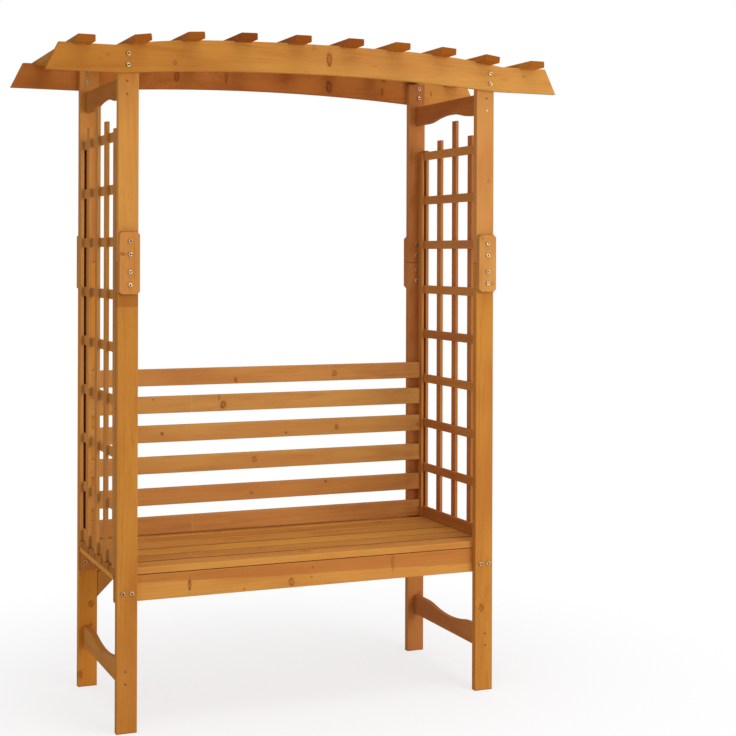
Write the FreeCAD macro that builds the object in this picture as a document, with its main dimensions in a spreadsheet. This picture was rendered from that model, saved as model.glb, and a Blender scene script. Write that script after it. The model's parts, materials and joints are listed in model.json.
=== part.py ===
# Arbour seat in stained softwood: four two-part posts, two arched beams, ten rafters, a slatted bench
# and two trellis sides. Millimetres, +Z up, front towards -Y, origin on the floor at the middle.
import FreeCAD, Part
import Sketcher
import math
import os

doc = FreeCAD.newDocument("arbour_seat")
sheet = doc.addObject("Spreadsheet::Sheet", "Sizes")
turns = {"left": -1, "right": 1}


class Size:
    """A number together with the expression that gives it from the sheet."""

    def __init__(self, number, text):
        self.number = float(number)
        self.text = text

    def join(self, other, mark, number):
        return Size(number, "(%s %s %s)" % (self.text, mark, words(other)))

    def __float__(self):
        return self.number

    def __add__(self, other):
        return self.join(other, "+", self.number + float(other))

    def __sub__(self, other):
        return self.join(other, "-", self.number - float(other))

    def __mul__(self, other):
        return self.join(other, "*", self.number * float(other))

    def __truediv__(self, other):
        return self.join(other, "/", self.number / float(other))

    def __radd__(self, other):
        return as_size(other) + self

    def __rsub__(self, other):
        return as_size(other) - self

    def __rmul__(self, other):
        return as_size(other) * self

    def __neg__(self):
        return self * -1

    def root(self):
        return Size(math.sqrt(self.number), "sqrt(%s)" % self.text)


def words(value):
    return value.text if isinstance(value, Size) else repr(float(value))


def as_size(value):
    return value if isinstance(value, Size) else Size(value, words(value))


cells = []


def size(name, number):
    cells.append(name)
    sheet.set("A%d" % len(cells), name)
    sheet.set("B%d" % len(cells), str(number))
    sheet.setAlias("B%d" % len(cells), name)
    return Size(number, "Sizes.%s" % name)


# Frame and posts
frame_width = size("frame_width", 1200)
frame_depth = size("frame_depth", 536)
post_width = size("post_width", 60)
post_thick = size("post_thick", 24)
lower_post_length = size("lower_post_length", 1340)
upper_post_length = size("upper_post_length", 615)
arris = size("arris", 2.5)
play = size("play", 0.3)

# Plates over the joint between lower and upper posts
plate_thick = size("plate_thick", 20)
plate_length = size("plate_length", 180)
plate_corner = size("plate_corner", 9)

# Arched beams
beam_thick = size("beam_thick", 20)
beam_depth = size("beam_depth", 78)
beam_above_post = size("beam_above_post", 2)
rear_beam_lift = size("rear_beam_lift", 5)
beam_reach = size("beam_reach", 211)
beam_slant = size("beam_slant", 38)
arch_rise = size("arch_rise", 35)
arch_shoulder = size("arch_shoulder", 330)
shoulder_drop = size("shoulder_drop", 6.3)
arch_start = size("arch_start", 13)
underarch_rise = size("underarch_rise", 24)
underarch_start = size("underarch_start", 7)

# Rafters
rafter_count = size("rafter_count", 10)
rafter_width = size("rafter_width", 50)
rafter_thick = size("rafter_thick", 20)
rafter_overhang = size("rafter_overhang", 62)
rafter_margin = size("rafter_margin", 64.25)
rafter_seat = size("rafter_seat", 4)
rafter_shift_two = size("rafter_shift_two", 3)
rafter_shift_five = size("rafter_shift_five", 9)
rafter_shift_six = size("rafter_shift_six", 18)
rafter_shift_seven = size("rafter_shift_seven", 12)
rafter_shift_eight = size("rafter_shift_eight", 8)

# Shaped boards between front and rear posts, at the top and near the floor
side_board_height = size("side_board_height", 63)
side_board_thick = size("side_board_thick", 20)
top_rail_drop = size("top_rail_drop", 80)
stretcher_height = size("stretcher_height", 129)
ogee_run = size("ogee_run", 165)
ogee_turn = size("ogee_turn", 110)
ogee_rise = size("ogee_rise", 17)

# Trellis laths
lath_thick = size("lath_thick", 8)
lath_width = size("lath_width", 28)
lath_arris = size("lath_arris", 1.2)
rail_count = size("rail_count", 9)
low_rail_gap = size("low_rail_gap", 1.5)
low_rail_width = size("low_rail_width", 37)
trellis_below_rail = size("trellis_below_rail", 92.5)
upright_thick = size("upright_thick", 10)
rail_above_seat = size("rail_above_seat", 6.5)
upright_rise_outer = size("upright_rise_outer", 6)
upright_rise_second = size("upright_rise_second", 34)
upright_rise_middle = size("upright_rise_middle", 90)
batten_width = size("batten_width", 30)

# Seat
seat_height = size("seat_height", 465)
seat_thick = size("seat_thick", 20)
front_slat_width = size("front_slat_width", 74)
rear_slat_width = size("rear_slat_width", 70)
front_slat_gap = size("front_slat_gap", 8)
seat_slat_gap = size("seat_slat_gap", 7)
apron_height = size("apron_height", 74)
apron_gap = size("apron_gap", 2)
apron_thick = size("apron_thick", 20)
bearer_width = size("bearer_width", 48)
bearer_thick = size("bearer_thick", 15)
centre_bearer_height = size("centre_bearer_height", 60)
centre_bearer_thick = size("centre_bearer_thick", 20)
gusset_leg = size("gusset_leg", 140)
gusset_width = size("gusset_width", 54)
gusset_thick = size("gusset_thick", 20)
gusset_drop = size("gusset_drop", 89)

# Backrest, with the height of each slat's middle above the seat
backrest_width = size("backrest_width", 54)
backrest_thick = size("backrest_thick", 20)
backrest_one = size("backrest_one", 31.5)
backrest_two = size("backrest_two", 123)
backrest_three = size("backrest_three", 224)
backrest_four = size("backrest_four", 324)
backrest_five = size("backrest_five", 417)
backrest_six = size("backrest_six", 505)

# Bolts and screws
bolt_head = size("bolt_head", 13)
bolt_head_height = size("bolt_head_height", 5)
bolt_shank = size("bolt_shank", 6)
bolt_tail = size("bolt_tail", 2)
bolt_clearance = size("bolt_clearance", 0.5)
screw_head = size("screw_head", 7)
screw_head_height = size("screw_head_height", 1.5)
screw_shank = size("screw_shank", 4)
screw_grip = size("screw_grip", 30)
beam_bolt_inset = size("beam_bolt_inset", 24)
beam_bolt_low = size("beam_bolt_low", 23)
beam_bolt_pitch = size("beam_bolt_pitch", 32)
splice_bolt_near = size("splice_bolt_near", 25)
splice_bolt_far = size("splice_bolt_far", 62)
apron_bolt_half = size("apron_bolt_half", 13)
apron_bolt_low = size("apron_bolt_low", 29)
rail_screw_low = size("rail_screw_low", 9)
rail_screw_pitch = size("rail_screw_pitch", 37)
stretcher_screw_low = size("stretcher_screw_low", 12)
stretcher_screw_pitch = size("stretcher_screw_pitch", 36)

doc.recompute()

# Places that several pieces share
half_width = frame_width / 2
half_depth = frame_depth / 2
inner_depth = half_depth - post_thick
post_inside = half_width - post_width
post_middle = half_width - post_width / 2
post_top = lower_post_length + upper_post_length
beam_top = post_top + beam_above_post
beam_bottom = beam_top - beam_depth
beam_tip = half_width + beam_reach
slat_bottom = seat_height - seat_thick
apron_bottom = slat_bottom - apron_gap - apron_height
lath_plane = half_width - lath_thick * 2
side_board_middle = lath_plane - side_board_thick / 2
batten_plane = lath_plane - lath_thick
splice_bolt_x = batten_plane - bolt_clearance - bolt_head / 2
seat_depth = inner_depth + half_depth
seat_slat_width = (seat_depth - front_slat_width - front_slat_gap - seat_slat_gap * 4 - rear_slat_width) / 4
top_rail_bottom = post_top - top_rail_drop - side_board_height
trellis_bottom = seat_height + rail_above_seat
trellis_top = top_rail_bottom - trellis_below_rail
rail_pitch = (trellis_top - lath_width - trellis_bottom) / (rail_count - 1)
bolt_bore = bolt_shank + play
screw_bore = screw_shank + play


def bind(thing, name, value):
    """Ties one property to the sheet."""
    if isinstance(value, Size):
        thing.setExpression(name, value.text)
    elif value:
        setattr(thing, name, value)


def place(thing, x, y, z):
    """Puts a sub-part in the object's frame, tied to the sheet."""
    thing.Placement = FreeCAD.Placement(FreeCAD.Vector(float(x), float(y), float(z)), FreeCAD.Rotation())
    for axis, value in (("x", x), ("y", y), ("z", z)):
        if isinstance(value, Size):
            thing.setExpression("Placement.Base.%s" % axis, value.text)


def flat(x, y):
    return FreeCAD.Vector(float(x), float(y), 0)


def pin(piece, point, x, y):
    """Fixes a sketch point by its two distances from the sketch's origin."""
    across = Sketcher.Constraint("DistanceX", -1, 1, piece, point, float(x))
    upward = Sketcher.Constraint("DistanceY", -1, 1, piece, point, float(y))
    return [(across, x), (upward, y)]


def rule(sketch, rules):
    """Adds constraints together, and ties those that have a size to the sheet."""
    places = sketch.addConstraint([constraint for constraint, value in rules])
    for place_number, (constraint, value) in zip(places, rules):
        if isinstance(value, Size):
            sketch.setExpression("Constraints[%d]" % place_number, value.text)


def outline(sketch, corners):
    """Closed outline. A corner is (x, y), or (x, y, radius, turn) where an arc leads to the next one."""
    spots = [flat(corner[0], corner[1]) for corner in corners]
    ends = []
    rules = []
    for index, corner in enumerate(corners):
        here = spots[index]
        there = spots[(index + 1) % len(spots)]
        if len(corner) == 2:
            ends.append((sketch.addGeometry(Part.LineSegment(here, there), False), 1, 2))
            continue
        radius, turn = corner[2], corner[3]
        chord = there - here
        reach = math.sqrt(float(radius) ** 2 - (chord.Length / 2) ** 2)
        side = FreeCAD.Vector(-chord.y, chord.x, 0).normalize()
        centre = (here + there) * 0.5 + side * reach * turn
        start, finish = (here, there) if turn > 0 else (there, here)
        first = math.atan2(start.y - centre.y, start.x - centre.x)
        last = math.atan2(finish.y - centre.y, finish.x - centre.x)
        circle = Part.Circle(centre, FreeCAD.Vector(0, 0, 1), float(radius))
        piece = sketch.addGeometry(Part.ArcOfCircle(circle, first, last), False)
        ends.append((piece, 1, 2) if turn > 0 else (piece, 2, 1))
        rules.append((Sketcher.Constraint("Radius", piece, float(radius)), radius))
    for index, corner in enumerate(corners):
        piece, first, last = ends[index]
        before = ends[index - 1]
        rules.append((Sketcher.Constraint("Coincident", before[0], before[2], piece, first), None))
        rules += pin(piece, first, corner[0], corner[1])
    rule(sketch, rules)


def bores(sketch, centres, width):
    """Round holes of one width."""
    rules = []
    for x, y in centres:
        circle = Part.Circle(flat(x, y), FreeCAD.Vector(0, 0, 1), float(width) / 2)
        piece = sketch.addGeometry(circle, False)
        rules.append((Sketcher.Constraint("Radius", piece, float(width) / 2), width / 2))
        rules += pin(piece, 3, x, y)
    rule(sketch, rules)


def attached_sketch(body, role, name):
    """A sketch on one of the body's own origin planes."""
    plane = [part for part in body.Origin.OriginFeatures if part.Role == role][0]
    sketch = body.newObject("Sketcher::SketchObject", name)
    sketch.AttachmentSupport = (plane, [""])
    sketch.MapMode = "FlatFace"
    return sketch


def board(label, role, corners, thick, spot, holes=(), rounded=arris, longest=0):
    """A board from the outline of its broad face, with its long edges rounded over."""
    body = doc.addObject("PartDesign::Body", label)
    body.Label = label
    sketch = attached_sketch(body, role, label + "_outline")
    outline(sketch, corners)
    for centres, width in holes:
        bores(sketch, centres, width)
    pad = body.newObject("PartDesign::Pad", label + "_pad")
    pad.Profile = sketch
    bind(pad, "Length", thick)
    pad.Reversed = role == "XZ_Plane"
    sketch.Visibility = False
    sketch.recompute()
    pad.recompute()
    depth_axis = {"XZ_Plane": 1, "YZ_Plane": 0, "XY_Plane": 2}[role]
    edges = []
    for index, edge in enumerate(pad.Shape.Edges):
        box = edge.BoundBox
        spread = (box.XLength, box.YLength, box.ZLength)[depth_axis]
        if spread < 0.01 and not edge.Closed and edge.Length > float(longest):
            edges.append("Edge%d" % (index + 1))
    if edges:
        fillet = body.newObject("PartDesign::Fillet", label + "_arris")
        fillet.Base = (pad, edges)
        bind(fillet, "Radius", rounded)
        fillet.recompute()
    body.recompute()
    place(body, *spot)
    return body


def rectangle(width, height):
    return [(0, 0), (width, 0), (width, height), (0, height)]


def end_bores(body, label, centres, width, depth, offset, inward):
    """Blind holes along Y into one end of a side board."""
    before = body.Shape.Volume
    sketch = attached_sketch(body, "XZ_Plane", label)
    sketch.AttachmentOffset = FreeCAD.Placement(FreeCAD.Vector(0, 0, -float(offset)), FreeCAD.Rotation())
    if isinstance(offset, Size):
        sketch.setExpression("AttachmentOffset.Base.z", (-offset).text)
    bores(sketch, centres, width)
    pocket = body.newObject("PartDesign::Pocket", label + "_pocket")
    pocket.Profile = sketch
    bind(pocket, "Length", depth)
    pocket.Reversed = not inward
    sketch.Visibility = False
    sketch.recompute()
    pocket.recompute()
    body.recompute()
    if body.Shape.Volume > before - 1:
        raise ValueError("no hole was cut by " + label)


nodes = []


def keep(thing):
    nodes.append(thing)
    return thing


# Posts, each of a lower and an upper length that meet end to end behind or before the plate
post_bolts = {}
for side, turn in turns.items():
    left_edge = -half_width if turn < 0 else post_inside
    beam_bolt_x = (half_width - beam_bolt_inset) * turn - left_edge
    middle = post_width / 2
    splice_x = splice_bolt_x * turn - left_edge
    apron_bolt_xs = (middle - apron_bolt_half, middle + apron_bolt_half)
    screw_x = side_board_middle * turn - left_edge
    for face in ("front", "rear"):
        y = -half_depth if face == "front" else inner_depth
        lift = 0 if face == "front" else rear_beam_lift
        low = [(splice_x, lower_post_length - splice_bolt_near), (splice_x, lower_post_length - splice_bolt_far)]
        low = low + [(x, apron_bottom + apron_bolt_low) for x in apron_bolt_xs]
        screws = [(screw_x, stretcher_height + stretcher_screw_low)]
        screws.append((screw_x, stretcher_height + stretcher_screw_low + stretcher_screw_pitch))
        keep(board("lower_post_%s_%s" % (face, side), "XZ_Plane", rectangle(post_width, lower_post_length),
                   post_thick, (left_edge, y, 0), [(low, bolt_bore), (screws, screw_bore)],
                   longest=post_width * 1.5))
        beam_low = beam_bottom + lift + beam_bolt_low - lower_post_length
        high = [(splice_x, splice_bolt_near), (splice_x, splice_bolt_far)]
        high = high + [(beam_bolt_x, beam_low), (beam_bolt_x, beam_low + beam_bolt_pitch)]
        rail_low = top_rail_bottom + rail_screw_low - lower_post_length
        screws = [(screw_x, rail_low), (screw_x, rail_low + rail_screw_pitch)]
        keep(board("upper_post_%s_%s" % (face, side), "XZ_Plane", rectangle(post_width, upper_post_length),
                   post_thick, (left_edge, y, lower_post_length), [(high, bolt_bore), (screws, screw_bore)],
                   longest=post_width * 1.5))

# Plates over the post joints, with clipped corners
clipped = [
    (plate_corner, 0),
    (post_width - plate_corner, 0),
    (post_width, plate_corner),
    (post_width, plate_length - plate_corner),
    (post_width - plate_corner, plate_length),
    (plate_corner, plate_length),
    (0, plate_length - plate_corner),
    (0, plate_corner),
]
for side, turn in turns.items():
    left_edge = -half_width if turn < 0 else post_inside
    plate_holes = []
    for rise in (-splice_bolt_far, -splice_bolt_near, splice_bolt_near, splice_bolt_far):
        plate_holes.append((splice_bolt_x * turn - left_edge, plate_length / 2 + rise))
    for face in ("front", "rear"):
        y = -half_depth - plate_thick if face == "front" else half_depth
        keep(board("splice_plate_%s_%s" % (face, side), "XZ_Plane", clipped, plate_thick,
                   (left_edge, y, lower_post_length - plate_length / 2), [(plate_holes, bolt_bore)]))

# Arched beams: flat wings, a shoulder and a flatter crown above, one long arch below
tip = beam_tip
top_tip = beam_tip - beam_slant
start_top = half_width + arch_start
start_low = half_width - underarch_start
crown_top = beam_depth + arch_rise
shoulder_top = crown_top - shoulder_drop
crown_radius = (arch_shoulder * arch_shoulder + shoulder_drop * shoulder_drop) / (shoulder_drop * 2)
crown_sine = arch_shoulder / crown_radius
crown_cosine = (1 - crown_sine * crown_sine).root()
run = start_top - arch_shoulder
fall = arch_rise - shoulder_drop
shoulder_radius = (run * run + fall * fall) / ((crown_cosine * fall - crown_sine * run) * 2)
underarch_radius = (start_low * start_low + underarch_rise * underarch_rise) / (underarch_rise * 2)
beam_outline = [
    (tip - tip, 0),
    (tip - start_low, 0, underarch_radius, -1),
    (tip + start_low, 0),
    (tip * 2, 0),
    (tip + top_tip, beam_depth),
    (tip + start_top, beam_depth, shoulder_radius, 1),
    (tip + arch_shoulder, shoulder_top, crown_radius, 1),
    (tip - arch_shoulder, shoulder_top, shoulder_radius, 1),
    (tip - start_top, beam_depth),
    (tip - top_tip, beam_depth),
]
beam_holes = []
for turn in (-1, 1):
    for rise in (beam_bolt_low, beam_bolt_low + beam_bolt_pitch):
        beam_holes.append((tip + (half_width - beam_bolt_inset) * turn, rise))
beams = {}
for face in ("front", "rear"):
    y = -half_depth - beam_thick if face == "front" else half_depth
    z = beam_bottom if face == "front" else beam_bottom + rear_beam_lift
    beams[face] = board("%s_beam_blank" % face, "XZ_Plane", beam_outline, beam_thick,
                        (-tip, y, z), [(beam_holes, bolt_bore)], longest=tip * 4)

# Rafters, each square to the front beam's upper edge where it crosses it and let in a little
rafter_length = frame_depth + beam_thick * 2 + rafter_overhang * 2
rafter_pitch = (top_tip - rafter_margin) * 2 / (rafter_count - 1)
crown_height = float(beam_bottom + crown_top)
rafter_shifts = {2: rafter_shift_two, 5: rafter_shift_five, 6: rafter_shift_six, 7: rafter_shift_seven,
                 8: rafter_shift_eight}


def beam_edge(x):
    """Height and slope angle of the beam's upper edge at x."""
    away = abs(x)
    sign = -1 if x > 0 else 1
    if away >= float(start_top):
        return float(beam_top), 0.0
    if away <= float(arch_shoulder):
        radius = float(crown_radius)
        angle = math.asin(away / radius)
        return crown_height - radius * (1 - math.cos(angle)), sign * angle
    radius = float(shoulder_radius)
    first = math.asin(float(crown_sine))
    centre_x = float(arch_shoulder) - radius * math.sin(first)
    centre_z = crown_height - float(shoulder_drop) - radius * math.cos(first)
    angle = math.asin((away - centre_x) / radius)
    return centre_z + radius * math.cos(angle), sign * angle


seats = []
for index in range(int(round(float(rafter_count)))):
    x = float(rafter_pitch) * (index - (float(rafter_count) - 1) / 2) + float(rafter_shifts.get(index + 1, 0))
    z, angle = beam_edge(x)
    turn = FreeCAD.Rotation(FreeCAD.Vector(0, 1, 0), -math.degrees(angle))
    rafter = keep(board("rafter_%d" % (index + 1), "XZ_Plane", rectangle(rafter_width, rafter_thick),
                        rafter_length, (0, 0, 0), rounded=arris, longest=rafter_width * 100))
    long_edges = []
    tip_feature = rafter.Tip
    for number, edge in enumerate(tip_feature.Shape.Edges):
        if edge.BoundBox.YLength > float(rafter_length) / 2:
            long_edges.append("Edge%d" % (number + 1))
    fillet = rafter.newObject("PartDesign::Fillet", "rafter_%d_arris" % (index + 1))
    fillet.Base = (tip_feature, long_edges)
    bind(fillet, "Radius", arris)
    lift = turn.multVec(FreeCAD.Vector(0, 0, -float(rafter_seat)))
    corner = turn.multVec(FreeCAD.Vector(-float(rafter_width) / 2, 0, 0))
    base = FreeCAD.Vector(x, -float(rafter_length) / 2, z) + lift + corner
    rafter.Placement = FreeCAD.Placement(base, turn)
    seat = doc.addObject("Part::Box", "rafter_seat_%d" % (index + 1))
    bind(seat, "Length", rafter_width + play * 2)
    bind(seat, "Width", rafter_length)
    bind(seat, "Height", rafter_thick * 2)
    corner = turn.multVec(FreeCAD.Vector(-float(rafter_width) / 2 - float(play), 0, 0))
    base = FreeCAD.Vector(x, -float(rafter_length) / 2, z) + lift + corner
    seat.Placement = FreeCAD.Placement(base, turn)
    seats.append(seat)
all_seats = doc.addObject("Part::Compound", "rafter_seats")
all_seats.Links = seats
for face in ("front", "rear"):
    cut = doc.addObject("Part::Cut", "%s_beam_cut" % face)
    cut.Base = beams[face]
    cut.Tool = all_seats
    for seat in seats:
        seat.recompute()
    all_seats.recompute()
    cut.recompute()
    edges = []
    for index, edge in enumerate(cut.Shape.Edges):
        box = edge.BoundBox
        if box.YLength < 0.01 and edge.Length > float(beam_depth) * 0.8 and not edge.Closed:
            edges.append((index + 1, float(arris), float(arris)))
    beam = doc.addObject("Part::Fillet", "%s_beam" % face)
    beam.Label = "%s_beam" % face
    beam.Base = cut
    beam.Edges = edges
    keep(beam)

# Shaped boards between the posts of one side: an ogee arch, upwards at the top and mirrored near the floor
ogee_swell = ogee_rise * ogee_turn / ogee_run
ogee_foot = ogee_rise - ogee_swell
foot_run = ogee_run - ogee_turn
ogee_crown_radius = (ogee_turn * ogee_turn + ogee_swell * ogee_swell) / (ogee_swell * 2)
ogee_foot_radius = (foot_run * foot_run + ogee_foot * ogee_foot) / (ogee_foot * 2)
middle = inner_depth
span = inner_depth * 2
arched = [
    (0, 0),
    (middle - ogee_run, 0, ogee_foot_radius, 1),
    (middle - ogee_turn, ogee_foot, ogee_crown_radius, -1),
    (middle + ogee_turn, ogee_foot, ogee_foot_radius, 1),
    (middle + ogee_run, 0),
    (span, 0),
    (span, side_board_height),
    (0, side_board_height),
]
dipped = [
    (0, 0),
    (span, 0),
    (span, side_board_height),
    (middle + ogee_run, side_board_height, ogee_foot_radius, 1),
    (middle + ogee_turn, side_board_height - ogee_foot, ogee_crown_radius, -1),
    (middle - ogee_turn, side_board_height - ogee_foot, ogee_foot_radius, 1),
    (middle - ogee_run, side_board_height),
    (0, side_board_height),
]
for side, turn in turns.items():
    x = -lath_plane if turn < 0 else lath_plane - side_board_thick
    rail = keep(board("top_side_rail_%s" % side, "YZ_Plane", arched, side_board_thick,
                      (x, -inner_depth, top_rail_bottom), longest=side_board_height * 0.8))
    stretcher = keep(board("side_stretcher_%s" % side, "YZ_Plane", dipped, side_board_thick,
                           (x, -inner_depth, stretcher_height), longest=side_board_height * 0.8))
    half = side_board_thick / 2
    rail_spots = [(half, rail_screw_low), (half, rail_screw_low + rail_screw_pitch)]
    low_spots = [(half, stretcher_screw_low), (half, stretcher_screw_low + stretcher_screw_pitch)]
    for body, spots, name in ((rail, rail_spots, "rail"), (stretcher, low_spots, "stretcher")):
        end_bores(body, "%s_%s_front_bores" % (name, side), spots, screw_bore, screw_grip, 0, True)
        end_bores(body, "%s_%s_rear_bores" % (name, side), spots, screw_bore, screw_grip, span, False)


def lath(name, spread, spot):
    """One thin lath with its long edges eased."""
    box = doc.addObject("Part::Box", name + "_blank")
    for key, value in zip(("Length", "Width", "Height"), spread):
        bind(box, key, value)
    place(box, *spot)
    box.recompute()
    long_side = max(float(value) for value in spread)
    edges = []
    for index, edge in enumerate(box.Shape.Edges):
        if edge.Length > long_side * 0.9:
            edges.append((index + 1, float(lath_arris), float(lath_arris)))
    eased = doc.addObject("Part::Fillet", name)
    eased.Base = box
    eased.Edges = edges
    return eased


def group(label, pieces):
    """Like pieces of one sort as separate solids in one node."""
    whole = doc.addObject("Part::Compound", label)
    whole.Label = label
    whole.Links = pieces
    return keep(whole)


# Trellis sides on the seat's ends: rails between the posts, uprights outside them, battens inside them
upright_pitch = (inner_depth * 2 - batten_width) / 4
for side, turn in turns.items():
    rails = []
    for index in range(int(round(float(rail_count)))):
        x = -lath_plane - lath_thick if turn < 0 else lath_plane
        z = seat_height + low_rail_gap if index == 0 else trellis_bottom + rail_pitch * index
        spot = (x, -inner_depth, z)
        width = low_rail_width if index == 0 else lath_width
        rails.append(lath("rail_%s_%d" % (side, index + 1), (lath_thick, span, width), spot))
    group("trellis_rails_%s" % side, rails)
    uprights = []
    rises = (upright_rise_outer, upright_rise_second, upright_rise_middle, upright_rise_second,
             upright_rise_outer)
    for index, rise in enumerate(rises):
        x = -lath_plane - lath_thick - upright_thick if turn < 0 else lath_plane + lath_thick
        y = upright_pitch * (index - 2) - batten_width / 2
        tall = trellis_top + rise - seat_height
        spot = (x, y, seat_height)
        uprights.append(lath("upright_%s_%d" % (side, index + 1), (upright_thick, batten_width, tall), spot))
    group("trellis_uprights_%s" % side, uprights)
    x = -lath_plane if turn < 0 else batten_plane
    tall = trellis_top - seat_height
    rear = lath("rear_batten_" + side, (lath_thick, batten_width, tall),
                (x, inner_depth - batten_width, seat_height))
    front = lath("front_batten_" + side, (lath_thick, batten_width, tall), (x, -inner_depth, seat_height))
    group("trellis_battens_%s" % side, [front, rear])

# Aprons behind the front posts and before the rear posts
apron_holes = []
for turn in (-1, 1):
    for shift in (-apron_bolt_half, apron_bolt_half):
        apron_holes.append((half_width + post_middle * turn + shift, apron_bolt_low))
for face in ("front", "rear"):
    y = -inner_depth if face == "front" else inner_depth - apron_thick
    keep(board("%s_apron" % face, "XZ_Plane", rectangle(frame_width, apron_height), apron_thick,
               (-half_width, y, apron_bottom), [(apron_holes, bolt_bore)], longest=apron_height * 2))

# Bearers under the seat, lying flat at the sides and on edge in the middle
bearer_length = inner_depth * 2 - apron_thick * 2
for side, turn in turns.items():
    x = -half_width if turn < 0 else half_width - bearer_width
    keep(board("seat_bearer_%s" % side, "XY_Plane", rectangle(bearer_width, bearer_length), bearer_thick,
               (x, apron_thick - inner_depth, slat_bottom - bearer_thick), longest=bearer_width * 2))
keep(board("seat_bearer_centre", "YZ_Plane", rectangle(bearer_length, centre_bearer_height),
           centre_bearer_thick, (-centre_bearer_thick / 2, apron_thick - inner_depth,
                                 slat_bottom - centre_bearer_height), longest=centre_bearer_height * 2))

# Seat slats from the front posts to the rear posts, the last one notched round them
y = -inner_depth
for index in range(5):
    width = front_slat_width if index == 0 else seat_slat_width
    keep(board("seat_slat_%d" % (index + 1), "XY_Plane", rectangle(frame_width, width), seat_thick,
               (-half_width, y, slat_bottom), longest=width * 2))
    y = y + width + (front_slat_gap if index == 0 else seat_slat_gap)
notch_side = post_width + play
notch_front = inner_depth - play - y
notched = [
    (0, 0),
    (frame_width, 0),
    (frame_width, notch_front),
    (frame_width - notch_side, notch_front),
    (frame_width - notch_side, rear_slat_width),
    (notch_side, rear_slat_width),
    (notch_side, notch_front),
    (0, notch_front),
]
keep(board("seat_slat_6", "XY_Plane", notched, seat_thick, (-half_width, y, slat_bottom),
           longest=rear_slat_width * 2))

# Backrest slats on the front faces of the rear posts, between the battens
back_half = batten_plane - play
backrest_rises = (backrest_one, backrest_two, backrest_three, backrest_four, backrest_five, backrest_six)
for index, rise in enumerate(backrest_rises):
    z = seat_height + rise - backrest_width / 2
    keep(board("backrest_slat_%d" % (index + 1), "XZ_Plane", rectangle(back_half * 2, backrest_width),
               backrest_thick, (-back_half, inner_depth - backrest_thick, z), longest=backrest_width * 2))

# Gussets: short braces at 45 degrees from the rear posts up behind the rear apron
gusset_cut = (gusset_width * gusset_width * 2).root()
for side, turn in turns.items():
    corner = [(0, 0), (gusset_leg, gusset_leg), (gusset_leg - gusset_cut, gusset_leg), (0, gusset_cut)]
    x = -post_inside
    if turn > 0:
        corner = [(gusset_leg, 0), (gusset_leg, gusset_cut), (gusset_cut, gusset_leg), (0, gusset_leg)]
        x = post_inside - gusset_leg
    keep(board("gusset_%s" % side, "XZ_Plane", corner, gusset_thick,
               (x, inner_depth, apron_bottom - gusset_drop)))


def fastener(head, head_height, shank, length):
    """A round head with a shank behind it, pointing along +Y, with the underside of its head at y = 0."""
    axis = FreeCAD.Vector(0, 1, 0)
    top = Part.makeCylinder(float(head) / 2, float(head_height), FreeCAD.Vector(0, -float(head_height), 0), axis)
    stem = Part.makeCylinder(float(shank) / 2, float(length), FreeCAD.Vector(0, 0, 0), axis)
    return top.fuse(stem).removeSplitter()


def fasteners(label, shape, places):
    """Like fasteners in one node; each place is x, y, z and the way it points along Y."""
    copies = []
    for x, y, z, way in places:
        turn = FreeCAD.Rotation(FreeCAD.Vector(0, 0, 1), 0 if way > 0 else 180)
        copy = shape.copy()
        copy.Placement = FreeCAD.Placement(FreeCAD.Vector(float(x), float(y), float(z)), turn)
        copies.append(copy)
    node = doc.addObject("Part::Feature", label)
    node.Label = label
    node.Shape = Part.makeCompound(copies)
    return keep(node)


# Bolts through two boards: heads outside on the front frame, inside on the rear frame
beam_bolt = fastener(bolt_head, bolt_head_height, bolt_shank, beam_thick + post_thick - bolt_tail)
plate_bolt = fastener(bolt_head, bolt_head_height, bolt_shank, plate_thick + post_thick - bolt_tail)
apron_bolt = fastener(bolt_head, bolt_head_height, bolt_shank, apron_thick + post_thick - bolt_tail)
side_screw = fastener(screw_head, screw_head_height, screw_shank, post_thick + screw_grip - bolt_tail)
beam_places = []
plate_places = []
apron_places = []
rail_places = []
stretcher_places = []
for turn in (-1, 1):
    for rise in (beam_bolt_low, beam_bolt_low + beam_bolt_pitch):
        x = (half_width - beam_bolt_inset) * turn
        beam_places.append((x, -half_depth - beam_thick, beam_bottom + rise, 1))
        beam_places.append((x, inner_depth, beam_bottom + rear_beam_lift + rise, 1))
    for rise in (-splice_bolt_far, -splice_bolt_near, splice_bolt_near, splice_bolt_far):
        plate_places.append((splice_bolt_x * turn, -half_depth - plate_thick, lower_post_length + rise, 1))
        plate_places.append((splice_bolt_x * turn, inner_depth, lower_post_length + rise, 1))
    for shift in (-apron_bolt_half, apron_bolt_half):
        x = post_middle * turn + shift
        apron_places.append((x, -half_depth, apron_bottom + apron_bolt_low, 1))
        apron_places.append((x, inner_depth - apron_thick, apron_bottom + apron_bolt_low, 1))
    x = side_board_middle * turn
    for rise in (rail_screw_low, rail_screw_low + rail_screw_pitch):
        rail_places.append((x, -half_depth, top_rail_bottom + rise, 1))
        rail_places.append((x, half_depth, top_rail_bottom + rise, -1))
    for rise in (stretcher_screw_low, stretcher_screw_low + stretcher_screw_pitch):
        stretcher_places.append((x, -half_depth, stretcher_height + rise, 1))
        stretcher_places.append((x, half_depth, stretcher_height + rise, -1))
fasteners("beam_bolts", beam_bolt, beam_places)
fasteners("splice_bolts", plate_bolt, plate_places)
fasteners("apron_bolts", apron_bolt, apron_places)
fasteners("top_rail_screws", side_screw, rail_places)
fasteners("stretcher_screws", side_screw, stretcher_places)

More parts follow.
